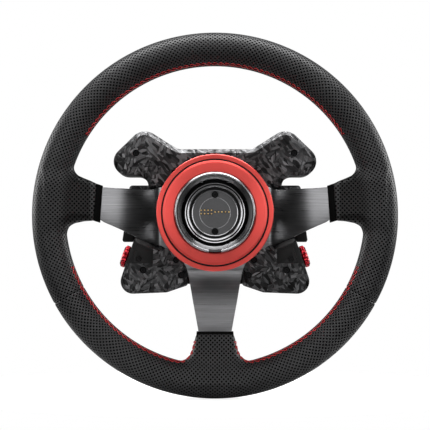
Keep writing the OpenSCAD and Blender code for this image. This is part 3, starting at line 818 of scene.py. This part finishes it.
# Half thickness of the boots and their edges, along each spoke
HALF_T = [(100, 4.2), (107, 4.5), (113, 5.6), (120, 7.8), (127, 10.6), (133, 13.0), (141, 14.2), (152, 14.6)]
BOOT_UP = [(100, 25), (107, 28.4), (112.4, 31), (117.8, 33.1), (123.2, 35.6), (127, 38.5), (134, 41), (152, 41)]
BOOT_DOWN = [(100, -5.6), (107, -5), (117.8, -5.7), (126, -7.4), (131.4, -9.8), (134.4, -13), (152, -17)]
BOOT_FOOT = [(100, 16), (107, 16.6), (112, 18.2), (121, 20.2), (126, 22.4), (130, 25.5), (141, 30), (152, 31)]


def blend(a, b, k):
    """Smooth minimum of two distances."""
    h = np.clip(0.5 + 0.5 * (a - b) / k, 0, 1)
    return a * (1 - h) + b * h - k * h * (1 - h)


def boot_distance(along, across, y, up, down, end):
    """Signed distance to a boot whose leather starts at end."""
    t = np.interp(along, *zip(*HALF_T))
    hi, lo = np.interp(along, *zip(*up)), np.interp(along, *zip(*down))
    half = (hi - lo) / 2
    rc = np.minimum(t * 0.92, half * 0.9)
    qy, qz = np.abs(y - RIM_Y) - (t - rc), np.abs(across - (hi + lo) / 2) - (half - rc)
    d = np.hypot(np.maximum(qy, 0), np.maximum(qz, 0)) + np.minimum(np.maximum(qy, qz), 0) - rc
    d = -blend(-d, along - end, 1.2)
    return np.maximum(np.maximum(d, along - 150), -20)


def skin_field(p):
    """Signed distance in mm to the leather skin: the rim and its three boots, run together smoothly."""
    x, y, z = p[:, 0], p[:, 1], p[:, 2]
    rim = np.hypot(np.hypot(x, z) - TUBE_R, y - RIM_Y) - GRIP_R
    end = 106.4 + 3.1 * (28.4 - z) / 33.4
    side = boot_distance(np.abs(x), z, y, BOOT_UP, BOOT_DOWN, end)
    foot = boot_distance(-z, x, y, BOOT_FOOT, [(a, -b) for a, b in BOOT_FOOT], 107.0)
    boots = np.minimum(side, foot)
    return blend(boots, rim, 7.0)


def field_normal(p):
    e = 0.05
    return np.stack([skin_field(p + d) - skin_field(p - d) for d in np.eye(3) * e], 1) / (2 * e)


def onto_skin(p, rounds=6):
    """Moves points onto the skin, at most 2 mm a round."""
    for _ in range(rounds):
        g = field_normal(p)
        size = np.maximum((g * g).sum(1), 0.09)
        p = p - (g * (skin_field(p) / size)[:, None]).clip(-2, 2)
    return p


def torus(major, minor, around, section):
    pts, faces = [], []
    for i in range(around):
        a, here, there = 2 * pi * i / around, i * section, (i + 1) % around * section
        for k in range(section):
            b, after = 2 * pi * k / section, (k + 1) % section
            r = major + minor * cos(b)
            pts.append((r * cos(a), RIM_Y + minor * sin(b), r * sin(a)))
            faces.append((here + k, here + after, there + after, there + k))
    return pts, faces


def boot_block(up, down):
    rings = []
    for along in (107.5, 113, 120, 127, 134, 142):
        t = np.interp(along, *zip(*HALF_T))
        hi, lo = np.interp(along, *zip(*up)), np.interp(along, *zip(*down))
        section = round_path([(lo, -t, t * 0.9), (hi, -t, t * 0.9), (hi, t, t * 0.9), (lo, t, t * 0.9)], 4)
        rings.append([(along, RIM_Y + h, z) for z, h in section])
    return stack(rings)


side_block = boot_block(BOOT_UP, BOOT_DOWN)
foot_block = turned(boot_block(BOOT_FOOT, [(a, -b) for a, b in BOOT_FOOT]), TO_FOOT)
skin = make("grip_skin", [torus(TUBE_R, GRIP_R, 400, 60)])
for block in (side_block, mirrored(side_block), foot_block):
    boolean(skin, [block], "UNION")
modify(skin, "REMESH", mode="VOXEL", voxel_size=1.25 * MM)


def press(ob, rounds):
    co = np.zeros(len(ob.data.vertices) * 3)
    ob.data.vertices.foreach_get("co", co)
    ob.data.vertices.foreach_set("co", (onto_skin(co.reshape(-1, 3) / MM, rounds) * MM).ravel())
    ob.data.update()


press(skin, 6)
modify(skin, "SMOOTH", factor=0.5, iterations=2)
press(skin, 2)

# The skin is cut at the two seams below the side spokes and its edges are turned in
SEAM = radians(29)
bm = bmesh.new()
bm.from_mesh(skin.data)
for sign in (1, -1):
    line = Vector((sign * cos(SEAM), 0, -sin(SEAM)))
    across = Vector((sign * sin(SEAM), 0, cos(SEAM)))
    middles = [(f, f.calc_center_median()) for f in bm.faces]
    near = [f for f, c in middles if abs(c.dot(across)) < 6 * MM and c.dot(line) > 0]
    split_faces(bm, near, (0, 0, 0), across)
halves = {}
for name, keep in (("grip_skin_upper", True), ("grip_skin_lower", False)):
    part = bm.copy()
    middles = [(f, f.calc_center_median()) for f in part.faces]
    other = [f for f, c in middles if (atan2(c.z, abs(c.x)) > -SEAM) != keep]
    bmesh.ops.delete(part, geom=other, context="FACES")
    part.normal_update()
    edge = [v for v in part.verts if v.is_boundary]
    ring = {o for v in edge for e in v.link_edges for o in [e.other_vert(v)]} - set(edge)
    for group, depth in ((edge, 1.1), (ring, 0.35)):
        for v in group:
            c = Vector((v.co.x, 0, v.co.z)).normalized() * TUBE_R * MM + Vector((0, RIM_Y * MM, 0))
            v.co += (c - v.co).normalized() * depth * MM
    me = bpy.data.meshes.new(name)
    part.to_mesh(me)
    part.free()
    halves[keep] = smooth(add(name, me), 80)
bm.free()
bpy.data.objects.remove(skin)
piece(halves[True], "leather", "leather_upper", "boot_left", "boot_right")
piece(halves[False], "leather", "leather_lower", "boot_bottom")


# ---- Trims where the boots end ----

def trim_sleeve(rows):
    """A sleeve round a spoke from rows of (low corner, high corner, half thickness) in the wheel plane."""
    rings = []
    for (x0, z0), (x1, z1), t in rows:
        length = hypot(x1 - x0, z1 - z0)
        section = round_path([(0, -t, 1.6), (length, -t, 1.6), (length, t, 1.6), (0, t, 1.6)], 4)
        rings.append([(x0 + (x1 - x0) * s / length, RIM_Y + h, z0 + (z1 - z0) * s / length)
                      for s, h in section])
    return stack(rings)


def trim_rows(low_a, high_a, low_b, high_b):
    """Rows from one end of a sleeve to the other, with its edges turned in."""
    rows = []
    for k, t in ((0, 3.0), (0.04, 3.5), (0.12, 3.8), (0.5, 3.95), (0.88, 3.8), (0.96, 3.5), (1, 3.1)):
        rows.append(((low_a[0] + (low_b[0] - low_a[0]) * k, low_a[1] + (low_b[1] - low_a[1]) * k),
                     (high_a[0] + (high_b[0] - high_a[0]) * k, high_a[1] + (high_b[1] - high_a[1]) * k), t))
    return rows


side_trim = trim_sleeve(trim_rows((103.6, -7.0), (101.2, 26.4), (109.8, -5.1), (106.8, 28.3)))
foot_trim = trim_sleeve(trim_rows((-16.5, -104.7), (16.5, -104.7), (-16.8, -107.6), (16.8, -107.6)))
piece(make("spoke_trims", [side_trim, mirrored(side_trim), foot_trim], 50), "trim_black", "boot_trims")


# ---- Stitching ----

# Length of a stitch and its steps, half its width, and how far the seam leans to the wheelbase in degrees
STITCH, FINE, REACH, SEAM_LEAN = 5.3, 8, 1.6, 26


def surface_path(guide, spacing):
    """Even steps along guide points pressed onto the skin, with tangent and normal at each."""
    g = onto_skin(np.array(guide, float), 8)
    steps = np.linalg.norm(np.diff(g, axis=0), axis=1)
    s = np.concatenate([[0], np.cumsum(steps)])
    at = np.arange(0, s[-1], spacing)
    p = np.stack([np.interp(at, s, g[:, i]) for i in range(3)], 1)
    p = onto_skin(p, 3)
    n = field_normal(p)
    n /= np.linalg.norm(n, axis=1)[:, None]
    t = np.gradient(p, axis=0)
    t /= np.linalg.norm(t, axis=1)[:, None]
    return p, t, n


def flank(angle):
    """A point on the inside of the rim, where its seam runs."""
    a, b = radians(angle), radians(SEAM_LEAN)
    r = TUBE_R - GRIP_R * cos(b)
    return (r * cos(a), RIM_Y - GRIP_R * sin(b), r * sin(a))


def foot_edge(sign):
    """From the rim round the fillet and up the side of the bottom boot."""
    pts = [flank(270 + sign * a) for a in np.arange(70, 17, -0.8)]
    pts += [(sign * x, RIM_Y - d, -z) for x, z, d in (
        (33, 132, 5.6), (28, 129.5, 5.2), (24.5, 126.5, 4.6), (22.2, 122.5, 4.0), (20.6, 118, 3.4),
        (19, 113.5, 2.9), (17.6, 109, 2.5))]
    return pts


seams = [[flank(a) for a in np.arange(32, 149, 0.8)], foot_edge(-1), foot_edge(1)]
threads, welt = [], []
for guide in seams:
    p, t, n = surface_path(guide, STITCH / FINE)
    side = np.cross(t, n)
    welt.append(tube(p + n * 0.02, 0.32))
    for start in range(0, len(p) - FINE, FINE):
        # One thread crosses the seam in full, the other only shows at its two ends
        for way, span in ((1, range(-1, FINE + 2)), (-1, range(-1, 3)), (-1, range(FINE - 2, FINE + 2))):
            path = []
            for k in span:
                i = min(max(start + k, 0), len(p) - 1)
                f = k / FINE
                lift = 0.3 - 0.9 * max(0, abs(f - 0.5) - 0.46) * 8
                path.append(p[i] + side[i] * way * REACH * min(max((f - 0.5) * 3.2, -1), 1) + n[i] * lift)
            threads.append(tube(path, 0.31))
stitches = make("cross_stitching", threads, 80)
piece(stitches, "red_thread", "stitching")
piece(make("seam_welt", welt, 80), "trim_black")


# ---- Housing outline ----

# Corners of the right half and their radii
HALF_OUTLINE = [
    (33, 57.4, 12), (63.8, 76.9, 14), (108, 34.2, 12.5), (58.8, 34.1, 10), (58.8, 23.4, 0.5), (48.5, 23.4, 3),
    (48.5, -29.5, 3), (70.9, -20.6, 3), (87.8, -71, 11), (42.6, -69.2, 6), (24.6, -63.1, 1.5),
    (25.8, -49.5, 2.5)]
OUTLINE = [(-x, z, r) for x, z, r in HALF_OUTLINE] + HALF_OUTLINE[::-1]


def inset(path, d):
    """The outline moved inwards by d, corner for corner."""
    out, n = [], len(path)
    for i in range(n):
        a, b, c = (Vector(path[j % n][:2]) for j in (i - 1, i, i + 1))
        u, v = (b - a).normalized(), (c - b).normalized()
        n1, n2 = Vector((-u.y, u.x)), Vector((-v.y, v.x))
        q = b + d * (n1 + n2) / (1 + n1.dot(n2))
        convex = u.x * v.y - u.y * v.x > 0
        r = path[i][2]
        out.append((q.x, q.y, max(r - d, 0.3) if convex else r))
    return out


def outline_ring(d, y, steps=12):
    """The housing's outline, inset by d. Its corners keep their full radius."""
    ring = []
    path = inset(OUTLINE, d)
    n = len(path)
    for i in range(n):
        a, b, c = (Vector(path[j % n][:2]) for j in (i - 1, i, i + 1))
        r = path[i][2]
        u, v = (a - b).normalized(), (c - b).normalized()
        half = acos(u.dot(v)) / 2
        centre = b + (u + v).normalized() * r / sin(half)
        first, last = b + u * r / tan(half) - centre, b + v * r / tan(half) - centre
        a0 = atan2(first.y, first.x)
        sweep = (atan2(last.y, last.x) - a0 + pi) % (2 * pi) - pi
        for k in range(steps + 1):
            t = a0 + sweep * k / steps
            ring.append((centre.x + r * cos(t), y, centre.y + r * sin(t)))
    return ring


BACK_SCREWS = [(s * x, z) for s in (-1, 1) for x, z in (
    (69.8, 53.8), (63.3, -49.6), (29.6, -54), (35.5, 36.5), (34.3, -40.5))]
INSERT_SCREW = (66.9, -39.8)
# Inner and lower edge of the insert and of the black paint round it, which is painted shade on the side walls
INSERT_AND_SHADE_X, INSERT_AND_SHADE_Z = 54.5, -43.6
INSERT = [(68.3, -27.6), (INSERT_AND_SHADE_X, -32.8), (INSERT_AND_SHADE_X, INSERT_AND_SHADE_Z), (73.6, INSERT_AND_SHADE_Z)]
SIDE_TILT = atan2(83.3 - 72.6, 57.7 - 25.9)
THUMB_AT = Vector((76.8, 56, -38.3))
THUMB_R = 10.0


def thumb_frame(part):
    """From a knob's own frame, axis along its Z, to the right side of the housing."""
    c, s = cos(SIDE_TILT), sin(SIDE_TILT)
    m = Matrix(((s, 0, c), (0, 1, 0), (-c, 0, s)))
    return moved(turned(part, m), THUMB_AT)


def cylinder(r, z0, z1, segs=48):
    return stack([[(r * c, r * s, z) for c, s in circle(segs)] for z in (z0, z1)])


CHAMFER, WALL = 3.5, 3.0
FLOOR_IN = BACK_Y + 4.0
profile = round_path([(CHAMFER + 6, BACK_Y, 0), (CHAMFER, BACK_Y, 0.5), (0, BACK_Y + CHAMFER, 0.5),
                      (0, PLATE_Y, 0)], 3, closed=False)
profile += [(WALL, PLATE_Y), (WALL, FLOOR_IN)]
housing = make("housing_shell", [stack([outline_ring(d, y) for d, y in profile[1:]])], 30)
posts = [rod(5, FLOOR_IN - 0.1, 48, at, 40, 0.3) for at in BACK_SCREWS]
posts += [rod(3.6, FLOOR_IN - 0.1, 47, (s * INSERT_SCREW[0], INSERT_SCREW[1]), 32, 0.3) for s in (-1, 1)]
for post in posts:
    boolean(housing, [post], "UNION")
cuts = [lathe([(0, BACK_Y - 1, 0), (3.5, BACK_Y - 1, 0), (2.95, BACK_Y + 0.45, 0), (2.95, 44.2, 0),
               (1.7, 44.2, 0), (1.7, 49, 0), (0, 49, 0)], at=at, segs=40) for at in BACK_SCREWS]
cuts += [lathe([(0, BACK_Y - 1, 0), (42, BACK_Y - 1, 0), (41, BACK_Y + 0.6, 0), (41, BACK_Y + 5, 0),
                (0, BACK_Y + 5, 0)], segs=96)]
side_cuts = [prism(INSERT, BACK_Y - 1, BACK_Y + 2.05), thumb_frame(cylinder(4.65, -6, 4)),
             rod(1.32, BACK_Y + 1, 46, INSERT_SCREW, 24)]
cuts += side_cuts + [mirrored(cut) for cut in side_cuts]
for cut in cuts:
    boolean(housing, [cut])

# Edges for the painted shade on the side walls round the insert
bm = bmesh.new()
bm.from_mesh(housing.data)
for at, across in (((INSERT_AND_SHADE_X, 0, 0), (1, 0, 0)), ((-INSERT_AND_SHADE_X, 0, 0), (1, 0, 0)), ((0, 0, INSERT_AND_SHADE_Z), (0, 0, 1))):
    near = [f for f in bm.faces if f.normal.y < 0.5 and any(
        -52 < v.co.z / MM < -18 and abs(v.co.x) / MM > 45 for v in f.verts)]
    split_faces(bm, near, Vector(at) * MM, across)
bm.to_mesh(housing.data)
bm.free()
piece(smooth(housing, 25), "forged_carbon", "rear_housing", extra=("matte_black",))
# Painted shade: the side walls and chamfers round the insert are painted matte black
paint(housing, 1, lambda c, r, n: abs(c.x) > INSERT_AND_SHADE_X and INSERT_AND_SHADE_Z < c.z < -15)

# Front plate with its wings, posts and openings
BUTTONS = [(78, 45.5), (60, 61), (52, 44), (53.5, -40.5), (72.5, -59.5)]
DIAL = (48, -57)
plate = make("plate_shell", [stack([outline_ring(0.1, PLATE_Y), outline_ring(0.1, PLATE_FRONT)])])
for s in (-1, 1):
    wing = [(40, 27, 0), (77.4, 27, 3), (83.4, -22, 3), (72, -24.2, 1), (40, -30, 0)]
    wing = round_path([(s * x, z, r) for x, z, r in wing], 4)
    boolean(plate, [prism(wing, PLATE_Y, PLATE_FRONT)], "UNION")
boolean(plate, [prism([(-30, -40), (30, -40), (27, -62.2), (-27, -62.2)], PLATE_Y, PLATE_FRONT)], "UNION")


def light_slot(r, y0, y1, half=27.5, z=48, steps=12):
    """A bar along X with round ends."""
    ring = [(half + r * cos(a), z + r * sin(a))
            for a in (pi * (k / steps - 0.5) for k in range(steps + 1))]
    ring += [(-x, 2 * z - w) for x, w in ring]
    return prism(ring, y0, y1)


cuts = [rod(6.2, 70, 90, (s * x, z), 48) for s in (-1, 1) for x, z in BUTTONS]
cuts += [rod(4.6, 70, 90, (s * DIAL[0], DIAL[1]), 40) for s in (-1, 1)]
cuts += [rod(18.2, 70, 90, segs=72), light_slot(2.6, 70, 90)]
for cut in cuts:
    boolean(plate, [cut])
soften(plate, 0.45, 2, 40)
piece(plate, "forged_carbon", "front_plate")
screw_posts = make("plate_posts", [
    lathe([(1.55, 50, 0), (3.8, 50, 0.3), (3.8, PLATE_Y - 0.01, 0), (1.55, PLATE_Y - 0.01, 0)], at=at, segs=32)
    for at in BACK_SCREWS if abs(at[0]) > 60 or at[1] > -50])
piece(screw_posts, "matte_black")

block = make("block", [prism(round_path([
    (61, 22.5, 0.6), (76.6, 24, 1), (83.6, -22.6, 0.8), (82.4, -24.3, 0.8), (74.2, -24.3, 0.6),
    (72.4, -18.6, 1), (61, -18.6, 0.6)], 3), PLATE_Y - 4.6, PLATE_Y - 0.02)])
sided("wing_pad", parts_of(soften(block, 0.35)), "matte_black", "wing_block")

patch = make("inlay", [prism(round_path([
    (68.2, -27.75, 0.8), (54.6, -32.9, 0.8), (54.6, -43.5, 0.8), (73.45, -43.5, 0.8)], 3),
    BACK_Y + 0.15, BACK_Y + 2)])
boolean(patch, [lathe([(0, 30, 0), (2.5, 30, 0), (2.5, BACK_Y + 1.5, 0), (1.4, BACK_Y + 1.5, 0), (1.4, 50, 0),
                       (0, 50, 0)], at=INSERT_SCREW, segs=32)])
sided("inlay", parts_of(soften(patch, 0.12)), "matte_black", "insert")

screw = socket_screw(2.75, 2.6, 1.45, 1.5, 41.55, 60)
piece(make("shell_screws", [moved(screw, (x, 0, z)) for x, z in BACK_SCREWS]),
      "black_steel", "housing_screws")
screw = socket_screw(2.3, 1.3, 1.2, 1.3, BACK_Y + 0.2, 45.8, 0.25)
piece(make("inlay_screws", [moved(screw, (s * INSERT_SCREW[0], 0, INSERT_SCREW[1])) for s in (-1, 1)]),
      "black_steel", "insert_screws")


# ---- Thumb knobs ----

def fluted(r, count, depth, steps=8):
    """A circle with shallow round flutes."""
    out = []
    for i in range(count * steps):
        a = 2 * pi * i / (count * steps)
        h = r - depth * (0.5 + 0.5 * cos(a * count)) ** 3
        out.append((h * cos(a), h * sin(a)))
    return out


def fluted_stack(rows, count):
    """Rings of (radius, flute depth, height along Z)."""
    return stack([[(x, y, z) for x, y in fluted(r, count, depth)] for r, depth, z in rows])


knob = thumb_frame(fluted_stack([
    (3.0, 0, -7), (3.0, 0, 0.8), (8.6, 0.1, 0.8), (9.3, 0.6, 0.95), (THUMB_R - 0.12, 1.0, 1.4),
    (THUMB_R, 1.1, 1.8), (THUMB_R, 1.1, 3.9), (THUMB_R - 0.15, 1.0, 4.4), (9.2, 0.5, 4.95), (8.7, 0.15, 5.1),
    (8.0, 0.0, 5.75), (7.7, 0, 5.9), (5.0, 0, 5.9), (4.6, 0, 5.6), (4.2, 0, 5.3)], 14))
sided("thumb_wheel", knob, "knob_red", "thumb_knob", ("thumb_right", "thumb_left"), 28)

# ---- Front controls ----

CAP_Y = high("button_right_1")[1]
MARK_Y = 84.35
TO_Y = Matrix(((1, 0, 0), (0, 0, 1), (0, 1, 0)))
for side, s in (("left", -1), ("right", 1)):
    for i, (x, z) in enumerate(BUTTONS, 1):
        cap = make(f"cap_{side}_{i}", [lathe([
            (0, 69.2, 0), (1.9, 69.2, 0.3), (1.9, 75.25, 0), (7, 75.2, 0.2), (7, 76.6, 0.2), (6, 76.6, 0),
            (6, CAP_Y - 0.25, 0.7), (4.6, CAP_Y, 0.4), (3.9, CAP_Y - 0.35, 0.3), (0, CAP_Y - 0.45, 0)],
            at=(s * x, z), segs=64)])
        piece(cap, "button_grey", f"button_{side}_{i}", body=f"key_{side}_{i}")
    dial = fluted_stack([
        (3.0, 0, 73), (3.0, 0, 81.4), (7.0, 0.1, 81.4), (7.85, 0.5, 81.6), (8.0, 0.7, 82.0), (8.0, 0.7, 84.2),
        (7.8, 0.5, 84.6), (7.0, 0.1, 85.0), (5.6, 0, 85.0), (5.2, 0, 84.7), (1.0, 0, 84.6)], 20)
    x, z = s * DIAL[0], DIAL[1]
    ob = make(f"dial_cap_{side}", [moved(turned(dial, TO_Y), (x, 0, z))], 28)
    boolean(ob, [prism([(x - 0.45, z + 2.2), (x + 0.45, z + 2.2), (x + 0.45, z + 7.6), (x - 0.45, z + 7.6)],
                       MARK_Y, 86)])
    piece(ob, "dial_black", f"dial_{side}", body=f"dial_{side}", extra=("lens",))
    paint(ob, 1, lambda c, r, n: abs(c.y - MARK_Y) < 0.02 and abs(n.y) > 0.9)

bezels = make("key_bezels", [lathe([
    (6.2, PLATE_FRONT, 0), (6.2, PLATE_FRONT + 1.7, 0.2), (6.6, PLATE_FRONT + 2, 0.2),
    (7.4, PLATE_FRONT + 2, 0.4), (8, PLATE_FRONT + 1.0, 0.4), (8, PLATE_FRONT, 0)],
    at=(s * x, z), segs=64) for s in (-1, 1) for x, z in BUTTONS])
piece(bezels, "matte_black", "button_bezels")
bar = make("light_strip", [light_slot(2.5, PLATE_Y + 0.5, high("light_bar")[1])])
piece(soften(bar, 0.35), "lens", "light_bar")
cap = make("centre_badge", [lathe([
    (0, PLATE_Y, 0), (18, PLATE_Y, 0), (18, PLATE_FRONT, 0), (22, PLATE_FRONT, 0.1),
    (22, PLATE_FRONT + 1.6, 0.4), (20.6, PLATE_FRONT + 2.8, 0.5), (17.5, PLATE_FRONT + 2.8, 0.3),
    (17.0, PLATE_FRONT + 2.3, 0.3), (0, PLATE_FRONT + 2.3, 0)], segs=96)])
piece(cap, "matte_black", "centre_cap")
